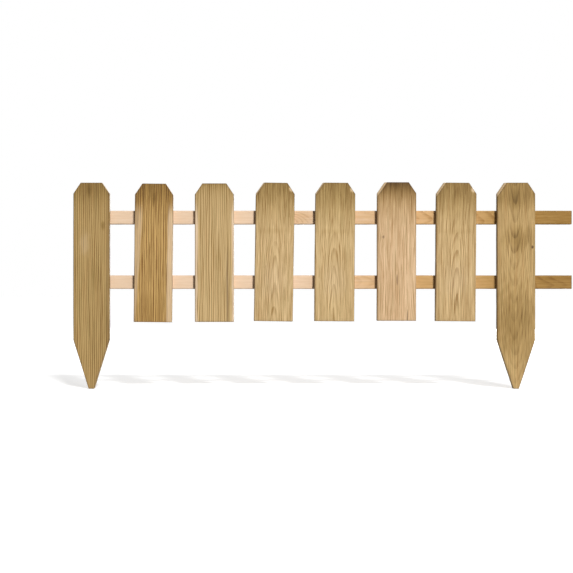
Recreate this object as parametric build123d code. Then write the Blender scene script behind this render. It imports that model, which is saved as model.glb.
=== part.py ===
from build123d import *

import os
from collections import namedtuple

# Timber garden edging fence, one panel: dog-eared pales on two rails, with a pointed stake at each end
# that is driven into the soil. The rails stand out past the right stake, to run behind the first stake
# of the next panel, and start behind the left stake, where the rails of the panel before would end.
# Sizes are in millimetres. X runs along the panel, Y from its front to its back and Z up. The origin is
# the middle of the left stake's blunt foot.

# Driving dimensions of the panel
pitch = 134.0  # from the middle of one board to the middle of the next
rail_spacing = 143.5  # between the rails' centre lines
upper_rail_drop = 76.0  # from the boards' tops down to the upper rail's centre line
rail_lead = 8.0  # from the left stake's middle out to the rails' left ends, behind it

# Boards
board_thickness = 18.0
board_arris = 2.5  # radius of the planed long edges
ear_width = 16.5  # what the saw takes off each top corner, across
ear_height = 24.5  # and down
pale_width = 86.0
pale_height = 306.0
left_stake_width = 80.0
right_stake_width = 84.5
stake_height = 455.0
point_height = 109.0  # tapered part of a stake
tip_width = 12.0  # blunt end of the point

# Rails
rail_height = 30.0
rail_thickness = 20.0
rail_arris = 2.0

# How each pale came to sit on the rails, from left to right: moved right, sawn wider and set lower, in
# millimetres, and leaning clockwise as seen from the front, in degrees.
Nailed = namedtuple("Nailed", "right wider lower lean")
pales_as_nailed = [
    Nailed(right=3.0, wider=-1.5, lower=2.0, lean=0.6),
    Nailed(right=3.5, wider=0.0, lower=1.5, lean=0.0),
    Nailed(right=2.0, wider=0.0, lower=0.0, lean=0.9),
    Nailed(right=1.5, wider=2.5, lower=0.0, lean=0.5),
    Nailed(right=4.0, wider=0.5, lower=-1.0, lean=0.1),
    Nailed(right=1.0, wider=3.0, lower=0.0, lean=0.5),
]

# Places that follow from the sizes
stake_count = 2
board_count = len(pales_as_nailed) + stake_count
right_stake_x = (board_count - 1) * pitch
rail_length = board_count * pitch  # so the next panel's first stake stands one pitch on
rail_y = (board_thickness + rail_thickness) / 2
upper_rail_z = stake_height - upper_rail_drop
lower_rail_z = upper_rail_z - rail_spacing
pale_foot_z = stake_height - pale_height


def sawn_board(width, height, foot):
    """A planed board, centred on x = 0 and y = 0 with its top at height, sawn to its outline: the foot's
    corners are given from left to right, and the top corners are cut off as dog ears."""
    planed = extrude(RectangleRounded(width, board_thickness, board_arris), height)
    half = width / 2
    top = [
        (half, height - ear_height),
        (half - ear_width, height),
        (ear_width - half, height),
        (-half, height - ear_height),
    ]
    outline = make_face(Plane.XZ * Polyline(*foot, *top, close=True))
    return planed & extrude(outline, amount=board_thickness, both=True)


def pale(width):
    """A short board whose foot is sawn square."""
    half = width / 2
    return sawn_board(width, pale_height, foot=[(-half, 0), (half, 0)])


def stake(width):
    """A long board whose foot is sawn to a blunt point."""
    half = width / 2
    tip = tip_width / 2
    return sawn_board(
        width,
        stake_height,
        foot=[(-half, point_height), (-tip, 0), (tip, 0), (half, point_height)],
    )


def nailed_pale(number, nailed):
    """Pale number 1 and on, leaning about the middle of its length, where the rails hold it."""
    middle = Pos(0, 0, pale_height / 2)
    lean = Rot(0, nailed.lean, 0)
    place = Pos(number * pitch + nailed.right, 0, pale_foot_z - nailed.lower)
    return place * middle * lean * middle.inverse() * pale(pale_width + nailed.wider)


def rail(height_above_foot):
    """A planed rail that lies along the boards' backs at that height of its centre line."""
    section = Plane.YZ * RectangleRounded(rail_thickness, rail_height, rail_arris)
    return Pos(-rail_lead, rail_y, height_above_foot) * extrude(section, rail_length)


pieces = {
    "left_stake": stake(left_stake_width),
    "right_stake": Pos(right_stake_x, 0, 0) * stake(right_stake_width),
    "upper_rail": rail(upper_rail_z),
    "lower_rail": rail(lower_rail_z),
}
for number, nailed in enumerate(pales_as_nailed, start=1):
    pieces[f"pale_{number}"] = nailed_pale(number, nailed)

os.makedirs("parts", exist_ok=True)
for name, piece in pieces.items():
    piece.label = name
    export_step(piece, f"parts/{name}.step")
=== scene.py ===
import math
from collections import namedtuple

import bpy
import numpy as np
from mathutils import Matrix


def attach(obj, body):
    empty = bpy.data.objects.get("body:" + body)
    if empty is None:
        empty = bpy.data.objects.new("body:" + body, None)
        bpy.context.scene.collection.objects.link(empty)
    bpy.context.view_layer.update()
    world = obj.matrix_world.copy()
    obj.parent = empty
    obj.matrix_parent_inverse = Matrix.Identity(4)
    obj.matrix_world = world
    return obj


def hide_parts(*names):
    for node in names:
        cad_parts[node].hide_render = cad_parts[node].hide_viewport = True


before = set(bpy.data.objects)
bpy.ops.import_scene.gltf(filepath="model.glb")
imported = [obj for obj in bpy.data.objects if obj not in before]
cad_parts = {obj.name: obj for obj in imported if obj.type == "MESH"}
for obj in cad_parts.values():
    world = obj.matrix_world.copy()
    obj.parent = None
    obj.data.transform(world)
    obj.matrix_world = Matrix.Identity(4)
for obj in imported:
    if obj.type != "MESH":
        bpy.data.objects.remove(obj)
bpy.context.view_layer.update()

# Timber garden edging fence, dressed: planed and pressure-treated pales and stakes with raised grain, two
# paler rails behind them, and the nails that hold them, seen on the rails' backs. Sizes are in millimetres,
# as the timber is sawn; a mesh is turned to metres when it is made.
MM = 0.001

# The panel, as in its solids
PITCH = 134.0  # from the middle of one board to the middle of the next
BOARD_COUNT = 8
BOARD_THICKNESS = 18.0
BOARD_ARRIS = 2.5
EAR_WIDTH = 16.5
EAR_HEIGHT = 24.5
PALE_WIDTH = 86.0
PALE_HEIGHT = 306.0
LEFT_STAKE_WIDTH = 80.0
RIGHT_STAKE_WIDTH = 84.5
STAKE_HEIGHT = 455.0
PALE_FOOT = STAKE_HEIGHT - PALE_HEIGHT
POINT_HEIGHT = 109.0
TIP_WIDTH = 12.0
RAIL_HEIGHT = 30.0
RAIL_THICKNESS = 20.0
RAIL_ARRIS = 2.0
RAIL_LEAD = 8.0  # from the left stake's middle out to the rails' left ends
RAIL_LENGTH = BOARD_COUNT * PITCH
RAIL_Y = (BOARD_THICKNESS + RAIL_THICKNESS) / 2
UPPER_RAIL_DROP = 76.0
RAIL_SPACING = 143.5
UPPER_RAIL_Z = STAKE_HEIGHT - UPPER_RAIL_DROP
LOWER_RAIL_Z = UPPER_RAIL_Z - RAIL_SPACING

# How fine the meshes are
BOARD_STEPS = (0.8, 2.5)  # across and along
RAIL_STEPS = (1.0, 3.0)
ARRIS_STEPS = 5
SIDE_STEPS = 10
CREASE = math.radians(38)  # a sharper edge than this isn't shaded smooth
PLAN_GAP = 4.0  # between the sides and the ends on a piece's flat plan
PLAN_BORDER = 2.0
WORN = 0.8  # radius that handling leaves on a sawn edge
WORN_STEPS = 3

# Relief
RIB_PITCH = 5.0  # fine ribs along a board, from one groove to the next
RIB_HEIGHT = 0.30  # from a groove's bottom to a rib's top
RIB_DRIFT = 0.28  # of a rib from its place, in pitches
RING_HEIGHT = 0.08  # hard summer wood stands proud of the soft spring wood
WAVINESS = 0.10  # of a planed face
RING_WANDER = 0.22  # of a growth ring, in rings
SPLIT_DEPTH = 0.9
SPLIT_SWAY, SPLIT_WAVE = 0.5, 23.0  # how far a split sways across, and over what length
SLANT_SHARE = 0.35  # share of a board's thickness that an out-of-square ear cut slants through

# Dirt at the edges, and painted shade: along the boards' left edges, away from the light, and on the rails in
# the corner with each board
CUT_DIRT = 1.2  # how far in from a sawn edge it fades
EDGE_SHADE_AND_DIRT = 2.0  # and from a long edge
# how dark the long edges turn: dirt on both, and painted shade that makes the left ones, away from the light,
# much darker
LEFT_SHADE_AND_DIRT, RIGHT_SHADE_AND_DIRT = 0.95, 0.25
CORNER_SHADE, CORNER_REACH = 0.55, 2.2  # painted shade in the corner of a rail and a board, where the board's shadow falls

# Pale wood
STRIP_FADES, STRIP_ENDS = 75.0, 35.0  # how far below a board's top a pale strip fades and is gone
SAPWOOD_FADES, SAPWOOD_ENDS = 400.0, 760.0  # along a rail from its left end
KEPT_OUT = 0.8  # share of the treatment that pale wood keeps out

# Seeds: a piece's own, and what is added to it for each thing on the piece that varies by chance
BOARD_SEED, RAIL_SEED = 100, 200
RIBS, WAVES, DRIFT, FLAMES, STAINS, BARE, SAPWOOD = 40, 41, 42, 50, 60, 70, 80

# How one board or rail lies in its log, in millimetres: where the pith runs, how far it moves across and in
# depth for each millimetre along, and how wide a growth ring is
Log = namedtuple("Log", "pith slope ring")
# How strong the grooves, the growth rings and the fibres show, and how long a fibre is
Grain = namedtuple("Grain", "grooves rings fibres length")
# What soaked in at the top: how much, how deep, and how sharply it ends
Soaked = namedtuple("Soaked", "amount deep power")
# Marks, by their places across and along
Blot = namedtuple("Blot", "across along wide long amount")
Line = namedtuple("Line", "across low high wide amount")
Knot = namedtuple("Knot", "across along radius amount swell", defaults=(1.4,))
Tones = namedtuple("Tones", "light dark warm cool bare olive mark end")
NO_STRIPS = ((0.0, 0.0, 0.0), (0.0, 0.0, 0.0))
Board = namedtuple(
    "Board",
    "node middle width foot height lean slant log grain tones soaked flames stains bare strips splits knots",
    defaults=((), (), (), NO_STRIPS, (), ()),
)
Rail = namedtuple("Rail", "node centre_z flames stains knots")
Timber = namedtuple("Timber", "points quads plan sawn")

# Both rails come from like logs
RAIL_LOG = Log((-13.0, -26.0), (0.02, 0.10), 3.0)
RAIL_GRAIN = Grain(0.0, 0.10, 0.30, 50.0)
RAIL_SOAKED = Soaked(0.80, 190.0, 3)


def smooth(low, high, value):
    """0 below low and 1 above high, with a smooth S between them."""
    t = np.clip((value - low) / (high - low), 0, 1)
    return t * t * (3 - 2 * t)


def wander(seed, size, *coordinates):
    """A smooth random field from about -1 to 1: a sum of sine waves in random directions, each about size
    millimetres long, where size has one length for each coordinate."""
    random = np.random.default_rng(seed)
    total = np.zeros(np.broadcast(*coordinates).shape)
    waves = 9
    for _ in range(waves):
        turn = random.normal(size=len(coordinates))
        phase = random.uniform(0, 2 * math.pi)
        total += np.sin(phase + sum(2 * math.pi * k * c / s for k, c, s in zip(turn, coordinates, size)))
    return total / math.sqrt(waves)


def face_columns(half, arris, step):
    """Places across a face from -half to half: even steps on the flat, and even angles round each arris."""
    flat = np.linspace(arris - half, half - arris, int(2 * (half - arris) / step))
    bend = np.sin(np.linspace(0, math.pi / 2, ARRIS_STEPS + 1)[1:]) * arris + half - arris
    return np.concatenate([-bend[::-1], flat, bend])


def stations(outline, steps):
    """Places along a piece between the outline's corners, in even steps: closer where the outline narrows, so
    that no step moves an edge by more than a column, and at both ends, where the sawn edge is worn round."""
    column_step, station_step = steps
    runs = []
    for (low, w_low), (high, w_high) in zip(outline, outline[1:]):
        step = min(station_step, column_step * (high - low) / max(abs(w_high - w_low), WORN))
        runs.append(np.linspace(low, high, int(math.ceil((high - low) / step)) + 1))
    worn = WORN * (1 - np.cos(np.linspace(0, math.pi / 2, WORN_STEPS + 1)))
    runs += [outline[0][0] + worn, outline[-1][0] - worn]
    return np.unique(np.round(np.concatenate(runs), 4))


def grid_quads(grid, turned=False):
    """The quads of a grid of numbers or places, each by its four corners in order round it."""
    n, m = grid.shape[0] - 1, grid.shape[1] - 1
    corners = [(0, 0), (1, 0), (1, 1), (0, 1)] if turned else [(0, 0), (0, 1), (1, 1), (1, 0)]
    quads = np.stack([grid[a:n + a, b:m + b] for a, b in corners], 2)
    return quads.reshape(n * m, 4, *grid.shape[2:])


def sawn_timber(half, thickness, arris, outline, slant, steps):
    """The closed surface of a planed piece that is sawn to an outline, in its own across, depth and along.

    A section is a rounded rectangle, cut off at each side where the outline is narrower. It is carried along
    the piece: the front and the back are across = a * w(along) for a from -1 to 1, at the depth that the
    rounded rectangle has there, and each side joins them straight across at w(along). Where the left ear is
    sawn out of square, w is less at the front than at the back by the slant. Both ends are closed by a grid
    of the same columns and rows. Gives the places, the quads, the quads' corners on a flat plan in
    millimetres, and 1 for each quad that a saw has cut across the grain."""
    heights, widths = np.array(outline).T
    along = stations(outline, steps)
    columns = face_columns(half, arris, steps[0]) / half
    rows = np.linspace(-1, 1, SIDE_STEPS + 1)

    # How far an end's worn edge draws the section in, and the outline's half width
    near_end = np.minimum(along - heights[0], heights[-1] - along)
    drawn = (WORN - np.sqrt(np.maximum(WORN**2 - np.maximum(WORN - near_end, 0) ** 2, 0)))[:, None]
    w = np.interp(along, heights, widths)[:, None] - drawn
    fall = (widths[-2] - widths[-1]) / (heights[-1] - heights[-2])
    ear_line = half - (along - heights[-2])[:, None] * fall
    left_w = np.minimum(w, np.maximum(ear_line, 0) - slant - drawn) if slant else w

    def half_thickness(across, w):
        """Of the section there: less at the planed arris, and at the worn edge of a saw cut."""
        arris_in = np.clip(np.abs(across) - (half - arris), 0, arris)
        worn_in = np.clip(np.abs(across) - (w - WORN), 0, WORN)
        planed = thickness / 2 - arris + np.sqrt(arris**2 - arris_in**2)
        cut = thickness / 2 - WORN + np.sqrt(WORN**2 - worn_in**2)
        return np.minimum(planed, cut) - drawn

    front_w = np.where(columns < 0, left_w, w)
    front, back = columns * front_w, columns * w
    front_deep, back_deep = half_thickness(front, front_w), half_thickness(back, w)
    side = rows[1:-1]
    share = (1 + side) / 2
    left_side = w + (left_w - w) * np.clip(1 - (1 - share) / SLANT_SHARE, 0, 1)
    across = np.hstack([front, np.repeat(w, side.size, 1), back[:, ::-1], -left_side])
    depth = np.hstack([
        -front_deep,
        -front_deep[:, -1:] + (front_deep[:, -1:] + back_deep[:, -1:]) * share,
        back_deep[:, ::-1],
        back_deep[:, :1] - (front_deep[:, :1] + back_deep[:, :1]) * share,
    ])
    round_it = np.stack([across, depth, np.repeat(along[:, None], across.shape[1], 1)], -1)
    count, around = round_it.shape[:2]

    # Quads round the piece, and their plan: the girth unrolled, by the length
    numbers = np.arange(count * around).reshape(count, around)
    quads = grid_quads(np.hstack([numbers, numbers[:, :1]]))
    loop = np.vstack([round_it[count // 2], round_it[count // 2, :1]])
    girth = np.concatenate([[0], np.cumsum(np.linalg.norm(np.diff(loop, axis=0), axis=1))])
    plan = grid_quads(np.stack(np.meshgrid(girth, along), -1))
    n = columns.size
    edge = np.arange(around)
    on_right = (edge >= n - 1) & (edge < n + side.size)
    on_left = edge >= 2 * n + side.size - 1
    planed_to = half - 1.5 * WORN
    cut_right, cut_left = (np.minimum(v[:-1], v[1:]) < planed_to for v in (w, left_w))
    sawn = ((on_right & cut_right) | (on_left & cut_left)).astype(float).reshape(-1)

    # The two ends: the edge of each grid is the section already there, and its inside is new
    points, all_quads, all_plan = [round_it.reshape(-1, 3)], [quads], [plan]
    total = count * around
    for level, base in ((0, 0), (-1, (count - 1) * around)):
        grid = np.zeros((n, rows.size), int)
        grid[:, 0] = base + np.arange(n)
        grid[-1, 1:-1] = base + n + np.arange(side.size)
        grid[:, -1] = base + n + side.size + np.arange(n)[::-1]
        grid[0, 1:-1] = base + 2 * n + side.size + np.arange(side.size)[::-1]
        inside = (n - 2) * side.size
        grid[1:-1, 1:-1] = total + np.arange(inside).reshape(n - 2, side.size)
        total += inside
        through = (1 + rows) / 2
        flat = np.zeros((n, rows.size, 3))
        flat[..., 0] = front[level][:, None] + (back[level] - front[level])[:, None] * through
        deep = front_deep[level] + back_deep[level]
        flat[..., 1] = -front_deep[level][:, None] + deep[:, None] * through
        flat[..., 2] = along[level]
        points.append(flat[1:-1, 1:-1].reshape(-1, 3))
        thicknesses_up = 1 if level == 0 else 2.5  # so that the two ends lie clear of each other
        beside = [girth[-1] + half + PLAN_GAP, along[0] + thickness * thicknesses_up]
        all_quads.append(grid_quads(grid, turned=level != 0))
        all_plan.append(grid_quads(flat[..., :2] + beside, turned=level != 0))
    quads = np.vstack(all_quads)
    sawn = np.concatenate([sawn, np.ones(len(quads) - len(sawn))])
    return Timber(np.vstack(points), quads, np.vstack(all_plan), sawn)


def outward(points, quads):
    """Each point's direction out of the surface: the sum of the normals of the quads that meet there."""
    a, b, c, d = (points[quads[:, n]] for n in range(4))
    normal = np.cross(c - a, d - b)
    total = np.zeros_like(points)
    for n in range(4):
        for axis in range(3):
            total[:, axis] += np.bincount(quads[:, n], normal[:, axis], len(points))
    return total / np.maximum(np.linalg.norm(total, axis=1, keepdims=True), 1e-9)


def growth_rings(log, seed, knots, across, depth, along):
    """The number of the growth ring at each place: its distance from the pith, a line that leans away from
    the piece's length by the log's slope, over the rings' width. The rings wander a little, and swell round
    each knot as a bell curve."""
    off_across = across - log.pith[0] - log.slope[0] * along
    off_depth = depth - log.pith[1] - log.slope[1] * along
    ring = np.hypot(off_across, off_depth) / log.ring
    ring = ring + RING_WANDER * wander(seed, (50, 50, 260), across, depth, along)
    for knot in knots:
        near = np.hypot(across - knot.across, (along - knot.along) / 2.2) / (knot.radius * 2.5)
        ring += knot.swell * np.exp(-near**2)
    return ring


def summer_wood(ring):
    """0 in a ring's spring wood, rising to 1 in its dark summer wood and dropping sharply at its end."""
    part = ring % 1.0
    return smooth(0.3, 0.85, part) * (1 - smooth(0.92, 1.0, part))


def rib_number(seed, across, depth, along):
    """How many ribs a place is across the face, where whole numbers are rib tops: the distance across over
    the pitch, with a drift that makes some ribs wider than others. The back's ribs don't line up with the
    front's."""
    drift = RIB_DRIFT * wander(seed, (30, 5000), across, along)
    return across / RIB_PITCH + drift + 0.4 * (depth > 0)


def blots(places, seed, across, along):
    """Soft blots, added up: each fades out from its middle over its width and length, with an edge that
    wanders."""
    total = np.zeros_like(across)
    for n, blot in enumerate(places):
        far = np.hypot((across - blot.across) / blot.wide, (along - blot.along) / blot.long)
        far += 0.10 * wander(seed + n, (9, 45), across, along)
        total += blot.amount * (1 - smooth(0.1, 1.0, far))
    return total


def soaked_in(soaked, along):
    """The treatment that soaked into a board's top end grain: most at the top, fading down the board as an
    exponential of its depth."""
    return soaked.amount * np.exp(-(((along.max() - along) / soaked.deep) ** soaked.power))


def split_lines(lines, across, along):
    """Dark lines along the grain, added up: each is as deep as its amount at its middle and tapers to nothing
    at both ends, as a half circle does."""
    total = np.zeros_like(across)
    for line in lines:
        middle, reach = (line.low + line.high) / 2, (line.high - line.low) / 2
        taper = np.sqrt(np.clip(1 - ((along - middle) / reach) ** 2, 0, 1))
        path = line.across + SPLIT_SWAY * np.sin(along / SPLIT_WAVE)
        wide = line.wide * (0.35 + 0.65 * taper)
        total += line.amount * taper * np.exp(-(((across - path) / wide) ** 2))
    return total


def bare_strips(half, strips, seed, across, along):
    """Pale strips down a board's two edges, left and right, each with its width at the foot, its width at the
    top and its strength. They end under the soaked top."""
    total = np.zeros_like(across)
    high = along.max()
    for (at_foot, at_top, strength), inward in zip(strips, (across + half, half - across)):
        wide = at_foot + (at_top - at_foot) * along / high + 0.9 * wander(seed, (300, 130), across, along)
        total += strength * (1 - smooth(wide - 2.0, wide + 1.5, inward))
    return total * (1 - smooth(high - STRIP_FADES, high - STRIP_ENDS, along))


def knot_faces(knots, across, along):
    """Round dark knots, a little longer than wide, added up."""
    total = np.zeros_like(across)
    for knot in knots:
        far = np.hypot(across - knot.across, (along - knot.along) / 1.25) / knot.radius
        total += knot.amount * (1 - smooth(0.6, 1.3, far))
    return total


def from_saw_cut(outline, slant, across, along):
    """How far a place on the face is from the nearest edge that a saw has cut: an end, or an oblique side."""
    heights, _ = np.array(outline).T
    near = np.minimum(along - heights[0], heights[-1] - along)
    for (low, w_low), (high, w_high) in zip(outline, outline[1:]):
        if w_low != w_high:
            run, rise = w_high - w_low, high - low
            out = np.abs(across) + np.where(across < 0, slant, 0.0) * (run < 0)
            off = (w_low + run * (along - low) / rise - out) * rise / math.hypot(run, rise)
            near = np.where((along >= low) & (along <= high), np.minimum(near, off), near)
    return np.maximum(near, 0)


def board_marks(board, seed, outline, across, depth, along):
    """What shows on a board: its rings, what soaked in, bare wood at its edges, splits, knots, dirt and
    painted shade.
    They darken the edges, most the left ones, where painted shade stands for the light falling from the
    right, and fade as an exponential of the distance."""
    half = board.width / 2
    bare = blots(board.bare, seed + BARE, across, along)
    bare = np.clip(bare + bare_strips(half, board.strips, seed + SAPWOOD, across, along), 0, 1)
    stains = blots(board.stains, seed + STAINS, across, along) + soaked_in(board.soaked, along)
    # Painted shade and dirt along the long edges, darkest on the left, away from the light
    at_edge = np.exp((np.abs(across) - half) / EDGE_SHADE_AND_DIRT) * np.where(across < 0, LEFT_SHADE_AND_DIRT, RIGHT_SHADE_AND_DIRT)
    at_cut = np.exp(-from_saw_cut(outline, board.slant, across, along) / CUT_DIRT)
    return {
        "figure": np.clip(board.grain.rings + blots(board.flames, seed + FLAMES, across, along), 0, 1),
        "soaked": np.clip(stains, 0, 3) * (1 - KEPT_OUT * bare),
        "bare": bare,
        "split": split_lines(board.splits, across, along) * smooth(0.0, 4.0, -depth),
        "knot": knot_faces(board.knots, across, along),
        "dirt_and_shade": np.clip(at_edge + at_cut, 0, 1),
    }


def rail_marks(rail, seed, boards, across, depth, along):
    """What shows on a rail: its rings in some places, pale sapwood along its left part that gives way to
    heartwood towards its right end, and painted shade in the corner with each board's left edge, as a bell
    curve."""
    wavy = along + 30 * wander(seed + SAPWOOD, (14, 300), across, along)
    sapwood = 1 - smooth(SAPWOOD_FADES, SAPWOOD_ENDS, wavy)
    # Painted shade: a dark band on the rail's front just left of each board, where the board's shadow falls
    corner = np.zeros_like(along)
    for board in boards:
        left = board.middle - board.width / 2 + RAIL_LEAD
        corner += np.exp(-(((along - left + 0.8) / CORNER_REACH) ** 2))
    on_front = depth < RAIL_ARRIS - RAIL_THICKNESS / 2
    cut = np.exp(-np.minimum(along, RAIL_LENGTH - along) / CUT_DIRT)
    figure = np.clip(RAIL_GRAIN.rings + blots(rail.flames, seed + FLAMES, across, along), 0, 1)
    stains = blots(rail.stains, seed + STAINS, across, along) + soaked_in(RAIL_SOAKED, along)
    return {
        "figure": figure,
        "soaked": stains * (1 - KEPT_OUT * sapwood),
        "bare": sapwood * (1 - 0.75 * figure),
        "split": np.zeros_like(along),
        "knot": knot_faces(rail.knots, across, along),
        "dirt_and_shade": np.clip(cut + CORNER_SHADE * corner * on_front, 0, 1),
    }


def make_mesh(name, timber, points, marks):
    """A mesh from whole arrays, in metres, with its flat plan as its UV map and its marks on its points."""
    mesh = bpy.data.meshes.new(name)
    quads, plan = timber.quads, timber.plan.reshape(-1, 2)
    mesh.vertices.add(len(points))
    mesh.loops.add(quads.size)
    mesh.polygons.add(len(quads))
    mesh.vertices.foreach_set("co", (points * MM).astype(np.float32).ravel())
    mesh.loops.foreach_set("vertex_index", quads.astype(np.int32).ravel())
    mesh.polygons.foreach_set("loop_start", np.arange(0, quads.size, 4, dtype=np.int32))
    mesh.polygons.foreach_set("use_smooth", np.ones(len(quads), bool))
    mesh.update(calc_edges=True)
    spread = (plan - plan.min(0) + PLAN_BORDER) / (np.ptp(plan, axis=0).max() + 2 * PLAN_BORDER)
    mesh.uv_layers.new(name="OFBake").data.foreach_set("uv", spread.astype(np.float32).ravel())
    sawn = mesh.attributes.new("sawn", "FLOAT", "FACE")
    sawn.data.foreach_set("value", timber.sawn.astype(np.float32))
    for mark, value in marks.items():
        kind, field = ("FLOAT_VECTOR", "vector") if value.ndim == 2 else ("FLOAT", "value")
        mesh.attributes.new(mark, kind, "POINT").data.foreach_set(field, value.astype(np.float32).ravel())
    mesh.set_sharp_from_angle(angle=CREASE)
    mesh.validate()
    return mesh


def place(mesh, material, node=None):
    """Puts a dressed piece in the scene, in place of its plain solid where it has one."""
    piece = bpy.data.objects.new(mesh.name, mesh)
    bpy.context.scene.collection.objects.link(piece)
    mesh.materials.append(material)
    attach(piece, "root")
    if node:
        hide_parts(node)


def linear(colour):
    """An sRGB hex colour as linear red, green, blue and alpha."""
    channels = [int(colour[n:n + 2], 16) / 255 for n in (1, 3, 5)]
    return tuple(c / 12.92 if c <= 0.04045 else ((c + 0.055) / 1.055) ** 2.4 for c in channels) + (1.0,)


def add(tree, kind, inputs, out=None, **settings):
    """Adds a node with its settings, joins or fills its inputs, and gives its output."""
    node = tree.nodes.new("ShaderNode" + kind)
    for name, value in settings.items():
        setattr(node, name, value)
    for name, value in inputs.items():
        if isinstance(value, bpy.types.NodeSocket):
            tree.links.new(value, node.inputs[name])
        else:
            node.inputs[name].default_value = value
    return node.outputs[out] if out else next((o for o in node.outputs if o.enabled), None)


def new_material(name):
    """An empty material, and its tree of nodes."""
    material = bpy.data.materials.new(name)
    material.use_nodes = True
    material.node_tree.nodes.clear()
    return material, material.node_tree


def treated_pine(name, tones, grain):
    """Pressure-treated pine, planed: fine ribs with dark grooves, spring wood and darker summer wood in
    rings, fibres and flecks along the grain, olive blots where the treatment gathered, pale sapwood, and
    paler, rougher end grain where a saw has cut it. The eye sees warm tan with fine lines, and no gloss."""
    material, t = new_material(name)
    where = add(t, "Attribute", {}, "Vector", attribute_name="timber")
    ring, rib, figure, soaked, bare, split, knot, dirt_and_shade, sawn = (
        add(t, "Attribute", {}, "Fac", attribute_name=mark)
        for mark in ("ring", "rib", "figure", "soaked", "bare", "split", "knot", "dirt_and_shade", "sawn")
    )

    # Noises drawn out along the grain: how long each is across, in depth and along, in millimetres
    noise = {}
    for use, size in {
        "fleck": (0.45, 0.45, 5.0), "band": (3.2, 3.2, 300.0), "bend": (6.0, 6.0, 60.0),
        "warm": (4.5, 4.5, 110.0), "cool": (5.0, 5.0, 80.0),
    }.items():
        at = add(t, "VectorMath", {0: where, 1: size}, operation="DIVIDE")
        noise[use] = add(t, "TexNoise", {"Vector": at, "Scale": 1.0, "Detail": 2.0, "Roughness": 0.6}, "Fac")

    # Fibres: long thin cells, each a little darker or lighter than the next, coarse ones that run together
    # and fine ones. They are drawn coarser than single fibres, as the bundles that the eye can tell apart.
    fibre = 0.0
    coarse = (1.7, 1.2, 0.45, "SMOOTH_F1", {"Smoothness": 0.3})
    fine = (0.6, 0.5, 0.55, "F1", {})
    for wide, long, share, feature, more in (coarse, fine):
        at = add(t, "VectorMath", {0: where, 1: (wide, wide, long * grain.length)}, operation="DIVIDE")
        cell = add(t, "TexVoronoi", {"Vector": at, "Scale": 1.0, **more}, "Color", feature=feature)
        red = add(t, "SeparateColor", {0: cell}, "Red")
        fibre = add(t, "Math", {0: red, 1: share, 2: fibre}, operation="MULTIPLY_ADD")

    # Rings, which bend a little and whose summer wood is broken by the fibres, some darker than others
    bent = add(t, "Math", {0: noise["bend"], 1: RING_WANDER, 2: ring}, operation="MULTIPLY_ADD")
    phase = add(t, "Math", {0: bent}, operation="FRACT")
    rising = {"Value": phase, "From Min": 0.40, "From Max": 0.86}
    ending = {"Value": phase, "From Min": 0.92, "From Max": 1.0, "To Min": 1.0, "To Max": 0.0}
    rising = add(t, "MapRange", rising, interpolation_type="SMOOTHSTEP")
    ending = add(t, "MapRange", ending, interpolation_type="SMOOTHSTEP")
    summer = add(t, "Math", {0: rising, 1: ending}, operation="MULTIPLY")
    broken = {"Value": fibre, "From Min": 0.2, "From Max": 0.8, "To Min": 0.65, "To Max": 1.15}
    broken = add(t, "MapRange", broken)
    summer = add(t, "Math", {0: summer, 1: broken}, operation="MULTIPLY")
    band = {"Value": noise["band"], "From Min": 0.3, "From Max": 0.7, "To Min": 0.35, "To Max": 1.25}
    band = add(t, "MapRange", band)
    shown = add(t, "Math", {0: summer, 1: figure}, operation="MULTIPLY")
    shown = add(t, "Math", {0: shown, 1: band}, operation="MULTIPLY")

    # Grooves between the ribs: a raised cosine, squared
    groove = add(t, "Math", {0: rib, 1: 2 * math.pi}, operation="MULTIPLY")
    groove = add(t, "Math", {0: groove}, operation="COSINE")
    groove = add(t, "Math", {0: groove, 1: -0.5, 2: 0.5}, operation="MULTIPLY_ADD")
    groove = add(t, "Math", {0: groove, 1: 2.0}, operation="POWER")
    groove = add(t, "Math", {0: groove, 1: band}, operation="MULTIPLY")

    # How dark the wood is
    shade = 0.26 - 0.43 * grain.fibres
    for part, amount in ((groove, grain.grooves), (shown, 0.75), (fibre, 0.86 * grain.fibres)):
        shade = add(t, "Math", {0: part, 1: amount, 2: shade}, operation="MULTIPLY_ADD")
    wood = add(t, "Mix", {0: shade, 6: linear(tones.light), 7: linear(tones.dark)}, data_type="RGBA")

    # Warm and olive streaks, and bare wood with its fibres still showing
    for use, colour in (("warm", tones.warm), ("cool", tones.cool)):
        streak = {"Value": noise[use], "From Min": 0.50, "From Max": 0.78, "To Min": 0.0, "To Max": 0.22}
        streak = add(t, "MapRange", streak, interpolation_type="SMOOTHSTEP")
        wood = add(t, "Mix", {0: streak, 6: wood, 7: linear(colour)}, data_type="RGBA")
    clear = {"Value": fibre, "From Min": 0.1, "From Max": 0.9, "To Min": 1.0, "To Max": 0.7}
    clear = add(t, "MapRange", clear)
    clear = add(t, "Math", {0: bare, 1: clear}, operation="MULTIPLY")
    wood = add(t, "Mix", {0: clear, 6: wood, 7: linear(tones.bare)}, data_type="RGBA")

    # The treatment lets through a share of each colour's light, and that share again for twice as much of it
    uneven = {"Value": fibre, "From Min": 0.1, "From Max": 0.9, "To Min": 0.85, "To Max": 1.1}
    uneven = add(t, "MapRange", uneven)
    uneven = add(t, "Math", {0: soaked, 1: uneven}, operation="MULTIPLY")
    let_through = {
        n: add(t, "Math", {0: channel, 1: uneven}, operation="POWER")
        for n, channel in enumerate(linear(tones.olive)[:3])
    }
    stain = add(t, "CombineColor", let_through)
    wood = add(t, "Mix", {0: 1.0, 6: wood, 7: stain}, data_type="RGBA", blend_type="MULTIPLY")

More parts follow.
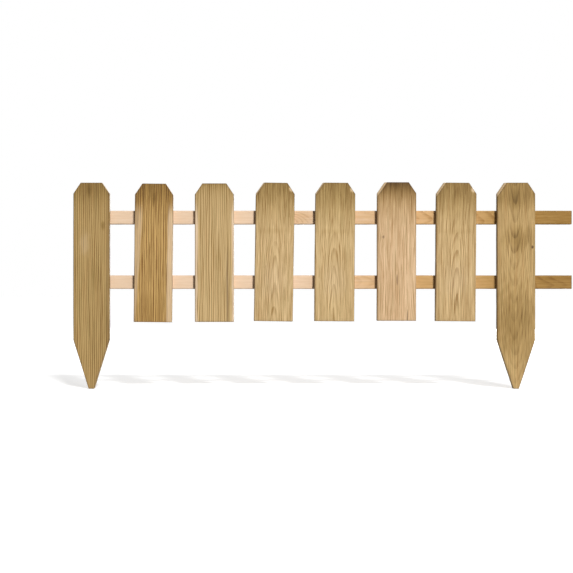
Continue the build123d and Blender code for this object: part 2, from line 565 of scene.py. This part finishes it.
    # Splits, knots, dirt and painted shade at the edges and in the corners, and the saw's cuts across the
    # grain
    planed = add(t, "Math", {0: 1.0, 1: sawn}, operation="SUBTRACT")
    dirt_and_shade_mix = add(t, "Math", {0: dirt_and_shade, 1: planed}, operation="MULTIPLY")
    dirt_and_shade_mix = add(t, "Math", {0: dirt_and_shade_mix, 1: 0.65}, operation="MULTIPLY")
    end_grain = add(t, "MapRange", {"Value": summer, "To Min": 0.92, "To Max": 0.78})
    end_grain = add(t, "Math", {0: end_grain, 1: sawn}, operation="MULTIPLY")
    for amount in (split, knot, dirt_and_shade_mix):
        wood = add(t, "Mix", {0: amount, 6: wood, 7: linear(tones.mark)}, data_type="RGBA")
    wood = add(t, "Mix", {0: end_grain, 6: wood, 7: linear(tones.end)}, data_type="RGBA")

    # Saw marks across the cut ends, about a millimetre apart, under fibres and flecks
    teeth = {"Vector": where, "Scale": 0.33, "Distortion": 2.5, "Detail": 2.0, "Detail Scale": 0.6}
    teeth = add(t, "TexWave", teeth, "Fac", wave_type="BANDS", bands_direction="Y")
    teeth = add(t, "Math", {0: teeth, 1: sawn}, operation="MULTIPLY")
    height = 0.0
    for part, amount in ((fibre, 0.08), (noise["fleck"], 0.08), (teeth, 0.07)):
        height = add(t, "Math", {0: part, 1: amount, 2: height}, operation="MULTIPLY_ADD")
    bump = add(t, "Bump", {"Height": height, "Strength": 0.8, "Distance": MM}, "Normal")
    rough = {"Value": fibre, "From Min": 0.1, "From Max": 0.9, "To Min": 0.58, "To Max": 0.74}
    rough = add(t, "MapRange", rough)
    rough = add(t, "Math", {0: sawn, 1: 0.12, 2: rough}, operation="MULTIPLY_ADD")
    pine = {"Base Color": wood, "Roughness": rough, "Normal": bump, "Specular IOR Level": 0.3}
    add(t, "OutputMaterial", {"Surface": add(t, "BsdfPrincipled", pine)})
    return material


def dress(name, timber, half, thickness, log, grain, knots, seed, marks, to_panel):
    """One dressed piece of timber: its sawn surface, raised grain, ribs and splits on it, and its marks."""
    across, depth, along = timber.points.T
    ring = growth_rings(log, seed, knots, across, depth, along)
    on_face = smooth(0.80, 0.98, np.abs(depth) / (thickness / 2))
    on_face = on_face * smooth(0.0, 3.0, half - np.abs(across))
    rib = rib_number(seed + RIBS, across, depth, along)
    groove = (0.5 - 0.5 * np.cos(2 * math.pi * rib)) ** 2 * on_face
    raised = RING_HEIGHT * (summer_wood(ring) - 0.4) - RIB_HEIGHT * grain.grooves * groove
    raised += WAVINESS * wander(seed + WAVES, (30, 30, 160), across, depth, along)
    raised -= SPLIT_DEPTH * np.clip(marks["split"] - 0.75, 0, 0.5)
    raised *= smooth(0.0, 1.5, np.minimum(along - along.min(), along.max() - along))
    points = timber.points + outward(timber.points, timber.quads) * raised[:, None]
    own_place = np.random.default_rng(seed).uniform(0, 900, 3)
    drift = 0.8 * wander(seed + DRIFT, (90, 90, 320), across, depth, along)
    in_log = timber.points + own_place + np.outer(drift, (1, 0, 0))
    return make_mesh(name, timber, to_panel(points), {**marks, "timber": in_log, "ring": ring, "rib": rib})


def upright(board):
    """Turns a board's across, depth and along to the panel's X, Y and Z: it leans about its middle and stands
    at its place."""
    turn = math.radians(board.lean)
    middle = board.height / 2

    def to_panel(points):
        across, depth, along = points.T
        x = board.middle + across * math.cos(turn) + (along - middle) * math.sin(turn)
        z = board.foot + middle - across * math.sin(turn) + (along - middle) * math.cos(turn)
        return np.stack([x, depth, z], -1)
    return to_panel


def lying(centre_z):
    """Lays a rail's across, depth and along at the boards' backs: along is the panel's X, and across is
    down."""
    def to_panel(points):
        across, depth, along = points.T
        return np.stack([along - RAIL_LEAD, depth + RAIL_Y, centre_z - across], -1)
    return to_panel


def pine_tones(
    light, dark, warm="#B07C40", cool="#8C7F4A", bare="#EED2AE", olive="#A89D77", mark="#4A2F14",
    end="#EDCDA0",
):
    """The colours of one piece: its light and dark wood, warm and olive streaks, bare sapwood, what the
    treatment lets through, its marks and its end grain."""
    return Tones(light, dark, warm, cool, bare, olive, mark, end)


# From left to right, where the stakes and pales stand, with how each pale came to sit on the rails, and how
# each one looks
boards = [
    Board(
        "left_stake", middle=0.0, width=LEFT_STAKE_WIDTH, foot=0.0, height=STAKE_HEIGHT, lean=0.0, slant=0.0,
        log=Log((-210.0, 25.0), (0.0, 0.0), 4.6), grain=Grain(0.26, 0.85, 0.55, 110.0),
        tones=pine_tones("#CBAA6E", "#735425"), soaked=Soaked(0.50, 40, 2),
        stains=[Blot(-4, 440, 9, 22, 0.45), Blot(26, 360, 6, 15, 0.45), Blot(10, 250, 14, 50, 0.18)],
        bare=[Blot(-15, 320, 16, 40, 0.2)], splits=[Line(35, 60, 440, 2.5, 0.30)],
    ),
    Board(
        "pale_1", middle=1 * PITCH + 3.0, width=PALE_WIDTH - 1.5,
        foot=PALE_FOOT - 2.0, height=PALE_HEIGHT, lean=0.6, slant=0.0,
        log=Log((190.0, 30.0), (0.0, 0.0), 5.0), grain=Grain(0.30, 0.88, 0.85, 60.0),
        tones=pine_tones("#D7AF6B", "#775221"), soaked=Soaked(0.60, 44, 2),
        stains=[Blot(0, 272, 6, 20, 0.4), Blot(16, 60, 9, 60, 0.18), Blot(0, 20, 60, 60, 0.15)],
        strips=((4.5, 20.0, 0.40), (11.5, 11.5, 0.66)),
    ),
    Board(
        "pale_2", middle=2 * PITCH + 3.5, width=PALE_WIDTH,
        foot=PALE_FOOT - 1.5, height=PALE_HEIGHT, lean=0.0, slant=0.0,
        log=Log((-180.0, 40.0), (0.0, 0.0), 4.8), grain=Grain(0.32, 0.95, 0.58, 110.0),
        tones=pine_tones("#E4C58F", "#8D6C37"), soaked=Soaked(0.55, 18, 1),
        stains=[Blot(10, 140, 8, 40, 0.18)], strips=((6.5, 7.5, 1.0), (4.0, 5.0, 1.0)),
        splits=[Line(29, -40, 170, 1.6, 0.75)],
    ),
    Board(
        "pale_3", middle=3 * PITCH + 2.0, width=PALE_WIDTH,
        foot=PALE_FOOT, height=PALE_HEIGHT, lean=0.9, slant=3.5,
        log=Log((2.0, 8.0), (0.0, 0.05), 2.4), grain=Grain(0.20, 0.56, 0.95, 52.0),
        tones=pine_tones("#E5C693", "#94723C"), soaked=Soaked(0.76, 62, 2),
        flames=[Blot(0, 70, 40, 100, 0.08), Blot(0, 250, 36, 130, -0.45)], stains=[Blot(0, 200, 60, 9, 0.1)],
        bare=[Blot(35, 292, 6, 9, 1.5), Blot(0, 90, 40, 60, 0.2)],
    ),
    Board(
        "pale_4", middle=4 * PITCH + 1.5, width=PALE_WIDTH + 2.5,
        foot=PALE_FOOT, height=PALE_HEIGHT, lean=0.5, slant=3.5,
        log=Log((-3.0, 9.0), (0.02, 0.05), 2.4), grain=Grain(0.20, 0.56, 0.95, 52.0),
        tones=pine_tones("#E2C490", "#93703A"), soaked=Soaked(0.76, 62, 2),
        flames=[Blot(0, 80, 40, 100, 0.08), Blot(0, 260, 36, 120, -0.45)], stains=[Blot(0, 198, 60, 9, 0.1)],
        bare=[Blot(37, 291, 6, 9, 1.5), Blot(0, 90, 40, 60, 0.2)],
    ),
    Board(
        "pale_5", middle=5 * PITCH + 4.0, width=PALE_WIDTH + 0.5,
        foot=PALE_FOOT + 1.0, height=PALE_HEIGHT, lean=0.1, slant=5.5,
        log=Log((90.0, 50.0), (0.0, -0.05), 3.0), grain=Grain(0.14, 0.60, 0.82, 50.0),
        tones=pine_tones("#F0CEA4", "#A27A48"), soaked=Soaked(2.2, 27, 1),
        flames=[Blot(-20, 60, 40, 90, 0.5)],
        splits=[Line(1.5, 78, 104, 0.9, 1.0), Line(23.6, -14, 26, 1.0, 0.9)],
        knots=[Knot(-29.4, 185, 2.6, 0.55)],
    ),
    Board(
        "pale_6", middle=6 * PITCH + 1.0, width=PALE_WIDTH + 3.0,
        foot=PALE_FOOT, height=PALE_HEIGHT, lean=0.5, slant=5.0,
        log=Log((2.0, 7.0), (0.0, 0.05), 2.4), grain=Grain(0.26, 0.66, 1.00, 60.0),
        tones=pine_tones("#E2C38F", "#926F3B"), soaked=Soaked(0.76, 62, 2),
        flames=[Blot(0, 90, 40, 110, 0.08), Blot(0, 260, 36, 120, -0.45)], stains=[Blot(0, 198, 60, 9, 0.1)],
        bare=[Blot(37, 291, 6, 9, 1.5), Blot(0, 90, 40, 60, 0.2)],
    ),
    Board(
        "right_stake", middle=(BOARD_COUNT - 1) * PITCH, width=RIGHT_STAKE_WIDTH,
        foot=0.0, height=STAKE_HEIGHT, lean=0.0, slant=5.0,
        log=Log((-2.0, 48.0), (0.0, -0.07), 2.6), grain=Grain(0.12, 0.32, 0.80, 46.0),
        tones=pine_tones("#D0AE74", "#77592B"), soaked=Soaked(0.42, 52, 4),
        flames=[Blot(2, 325, 40, 50, 0.35), Blot(-2, 412, 30, 36, 0.25)],
        stains=[
            Blot(-2, 416, 24, 34, 0.3), Blot(4, 332, 50, 36, 0.35), Blot(6, 326, 14, 60, 0.25),
            Blot(-4, 150, 70, 120, 0.40),
        ],
        knots=[Knot(36, 313, 2.6, 0.95)],
    ),
]
for number, board in enumerate(boards):
    half = board.width / 2
    pointed = board.height == STAKE_HEIGHT
    foot = [(0.0, TIP_WIDTH / 2), (POINT_HEIGHT, half)] if pointed else [(0.0, half)]
    outline = foot + [(board.height - EAR_HEIGHT, half), (board.height, half - EAR_WIDTH)]
    timber = sawn_timber(half, BOARD_THICKNESS, BOARD_ARRIS, outline, board.slant, BOARD_STEPS)
    seed = BOARD_SEED + number
    marks = board_marks(board, seed, outline, *timber.points.T)
    mesh = dress(
        board.node + "_timber", timber, half, BOARD_THICKNESS, board.log, board.grain, board.knots, seed,
        marks, upright(board),
    )
    pine = treated_pine("planed_treated_pine." + board.node, board.tones, board.grain)
    place(mesh, pine, board.node)

# The rails: each one's height, the places where its rings show, and a knot that a board hides
RAIL_TONES = pine_tones(
    "#E6BC86", "#A8793F", warm="#C08A4C", cool="#A88A50", bare="#F0D4B8", olive="#A89C62",
)
rails = [
    Rail(
        "upper_rail", UPPER_RAIL_Z,
        flames=[Blot(0, 470, 40, 45, 0.65), Blot(0, 760, 30, 70, 0.6), Blot(0, 900, 30, 70, 0.7)],
        stains=[], knots=[Knot(4, 446, 7.0, 0.0, 6.0)],
    ),
    Rail(
        "lower_rail", LOWER_RAIL_Z, flames=[Blot(0, 620, 30, 80, 0.3), Blot(0, 1010, 30, 120, 0.5)],
        stains=[Blot(0, 745, 40, 60, 0.18)], knots=[],
    ),
]
for number, rail in enumerate(rails):
    half = RAIL_HEIGHT / 2
    outline = [(0.0, half), (RAIL_LENGTH, half)]
    timber = sawn_timber(half, RAIL_THICKNESS, RAIL_ARRIS, outline, 0.0, RAIL_STEPS)
    seed = RAIL_SEED + number
    marks = rail_marks(rail, seed, boards, *timber.points.T)
    mesh = dress(
        rail.node + "_timber", timber, half, RAIL_THICKNESS, RAIL_LOG, RAIL_GRAIN, rail.knots, seed, marks,
        lying(rail.centre_z),
    )
    pine = treated_pine("planed_pale_pine." + rail.node, RAIL_TONES, RAIL_GRAIN)
    place(mesh, pine, rail.node)

# Nails: flat round heads on the rails' backs, two at each crossing
NAIL_RADIUS = 3.4
NAIL_THICKNESS = 0.9
NAIL_SPREAD = 19.0  # from a board's middle, across
NAIL_STEP = 6.0  # and up or down
NAIL_FROM_END = 10.0  # so that a rail's end doesn't split
NAIL_TURNS = 20
SPANGLE = 1.2  # a grain of the zinc
NAIL_CREASE = math.radians(50)


def nail_heads(boards):
    """Flat round nail heads with a rounded rim: a profile turned about each nail's axis, for every crossing
    at once. A head's radius falls to nothing at its middle, and its foot is sunk into the rail. The two nails
    of a crossing stand on a slant, which changes sides from board to board."""
    radius = np.array([0.45, 0.80, 0.94, 1.0, 1.0, 0.9]) * NAIL_RADIUS
    proud = np.array([0.99, 0.95, 0.82, 0.55, -0.2, -0.5]) * NAIL_THICKNESS
    turn = np.linspace(0, 2 * math.pi, NAIL_TURNS, endpoint=False)
    out, round_it = np.meshgrid(radius, turn, indexing="ij")
    up = np.repeat(proud[:, None], NAIL_TURNS, 1)
    wall = np.stack([out * np.cos(round_it), up, out * np.sin(round_it)], -1).reshape(-1, 3)
    head = np.vstack([wall, [[0, NAIL_THICKNESS, 0], [0, proud[-1], 0]]])
    numbers = np.arange(len(wall)).reshape(radius.size, NAIL_TURNS)
    quads = grid_quads(np.hstack([numbers, numbers[:, :1]]))
    first, last, after = numbers[0], numbers[-1], np.roll(np.arange(NAIL_TURNS), -1)
    crown = np.stack([np.full(NAIL_TURNS, len(wall)), first[after], first], -1)
    seat = np.stack([np.full(NAIL_TURNS, len(wall) + 1), last, last[after]], -1)
    back = RAIL_Y + RAIL_THICKNESS / 2
    spots = np.array([
        (board.middle + s * NAIL_SPREAD, back, z + s * NAIL_STEP * (1 if number % 2 else -1))
        for number, board in enumerate(boards) for z in (UPPER_RAIL_Z, LOWER_RAIL_Z) for s in (-1, 1)
    ])
    spots[:, 0] = np.maximum(spots[:, 0], NAIL_FROM_END - RAIL_LEAD)
    points = (head + spots[:, None]).reshape(-1, 3)
    shift = (np.arange(len(spots)) * len(head))[:, None, None]
    faces = (quads + shift).reshape(-1, 4).tolist()
    faces += (np.vstack([crown, seat]) + shift).reshape(-1, 3).tolist()
    mesh = bpy.data.meshes.new("nail_heads")
    mesh.from_pydata((points * MM).tolist(), [], faces)
    mesh.polygons.foreach_set("use_smooth", np.ones(len(faces), bool))
    mesh.set_sharp_from_angle(angle=NAIL_CREASE)
    return mesh


def galvanised_steel():
    """Hot-dipped zinc on nail heads: dull grey metal with a spangle of lighter and darker grains."""
    material, t = new_material("galvanised_nail_steel")
    where = add(t, "TexCoord", {}, "Object")
    spangle = add(t, "TexVoronoi", {"Vector": where, "Scale": 1 / (SPANGLE * MM)}, "Color")
    grain = add(t, "SeparateColor", {0: spangle}, "Red")
    zinc = add(t, "Mix", {0: grain, 6: linear("#8E9296"), 7: linear("#B4B8BA")}, data_type="RGBA")
    rough = add(t, "MapRange", {"Value": grain, "To Min": 0.42, "To Max": 0.58})
    steel = {"Base Color": zinc, "Roughness": rough, "Metallic": 1.0}
    add(t, "OutputMaterial", {"Surface": add(t, "BsdfPrincipled", steel)})
    return material


place(nail_heads(boards), galvanised_steel())


# Floor, light and camera, in metres
FLOOR_REACH = 30.0
FLOOR_GLOW = 0.57  # what the floor's own light adds, so that it is white where the lamps leave it grey
SKY_LIGHT = 0.12  # how much light the white surroundings throw on the panel
MIDDLE = np.array([0.51, 0.0, 0.23])  # of the panel
CAMERA_X, CAMERA_Z = 0.4309, 0.2258  # level with a place between the rails, a little left of the middle
CAMERA_DISTANCE = 3.2  # from the boards' fronts
PICTURE_WIDTH = 573  # pixels
PIXELS_A_METRE = 453.09  # at the boards' fronts
VIEW_WIDTH = PICTURE_WIDTH / PIXELS_A_METRE


def seen_straight(tree):
    """1 for what the camera sees, straight or by way of metal or glass, and 0 for the light on the panel."""
    seen = 0.0
    for ray in ("Is Camera Ray", "Is Glossy Ray", "Is Transmission Ray"):
        seen = add(tree, "Math", {0: add(tree, "LightPath", {}, ray), 1: seen}, operation="MAXIMUM")
    return seen


def floor_paint():
    """Matt white studio paint: it reads white, with the panel's soft shadow on it, and throws little light
    back up at the panel."""
    material, t = new_material("studio_floor_paint")
    seen = seen_straight(t)
    colour = add(t, "Mix", {0: seen, 6: linear("#8C8C8C"), 7: linear("#F2F2F2")}, data_type="RGBA")
    glow = add(t, "Math", {0: seen, 1: FLOOR_GLOW}, operation="MULTIPLY")
    paint = add(t, "BsdfDiffuse", {"Color": colour})
    glow = add(t, "Emission", {"Color": linear("#FFFFFF"), "Strength": glow})
    add(t, "OutputMaterial", {"Surface": add(t, "AddShader", {0: paint, 1: glow})})
    return material


corners = np.array([[-1, -1, 0], [1, -1, 0], [1, 1, 0], [-1, 1, 0]]) * FLOOR_REACH
floor_mesh = bpy.data.meshes.new("studio_floor")
floor_mesh.from_pydata(corners.tolist(), [], [(0, 1, 2, 3)])
floor_mesh.materials.append(floor_paint())
floor = bpy.data.objects.new("studio_floor", floor_mesh)
bpy.context.scene.collection.objects.link(floor)

world = bpy.data.worlds.new("studio")
world.use_nodes = True
world.node_tree.nodes.clear()
strength = {"Value": seen_straight(world.node_tree), "To Min": SKY_LIGHT, "To Max": 1.0}
strength = add(world.node_tree, "MapRange", strength)
sky = add(world.node_tree, "Background", {"Color": linear("#FFFFFF"), "Strength": strength})
add(world.node_tree, "OutputWorld", {"Surface": sky})
bpy.context.scene.world = world


def aim(azimuth, elevation):
    """Towards a lamp at that azimuth to the right of the panel's front, and its turn to shine back along
    it."""
    a, e = math.radians(azimuth), math.radians(elevation)
    towards = np.array([math.sin(a) * math.cos(e), -math.cos(a) * math.cos(e), math.sin(e)])
    return towards, (math.pi / 2 - e, 0.0, a)


def lamp(name, kind, azimuth, elevation, distance, power, **settings):
    """A lamp that shines on the panel's middle."""
    data = bpy.data.lights.new(name, kind)
    data.energy = power
    for setting, value in settings.items():
        setattr(data, setting, value)
    towards, turn = aim(azimuth, elevation)
    holder = bpy.data.objects.new(name, data)
    holder.location = MIDDLE + towards * distance
    holder.rotation_euler = turn
    holder.visible_camera = False
    bpy.context.scene.collection.objects.link(holder)


lamp("key_light", "SUN", 16.0, 40.0, 4.0, 1.9, angle=math.radians(7))
lamp("front_softbox", "AREA", 15.0, 6.0, 4.5, 84.0, shape="SQUARE", size=0.6)
lamp("back_softbox", "AREA", 165.0, 9.0, 4.5, 135.0, shape="SQUARE", size=2.0)

camera_data = bpy.data.cameras.new("camera")
camera_data.sensor_width = 36.0
camera_data.lens = camera_data.sensor_width * CAMERA_DISTANCE / VIEW_WIDTH
camera = bpy.data.objects.new("camera", camera_data)
camera.location = (CAMERA_X, -BOARD_THICKNESS / 2 * MM - CAMERA_DISTANCE, CAMERA_Z)
camera.rotation_euler = (math.pi / 2, 0.0, 0.0)
bpy.context.scene.collection.objects.link(camera)
bpy.context.scene.camera = camera
bpy.context.scene.view_settings.view_transform = "Standard"
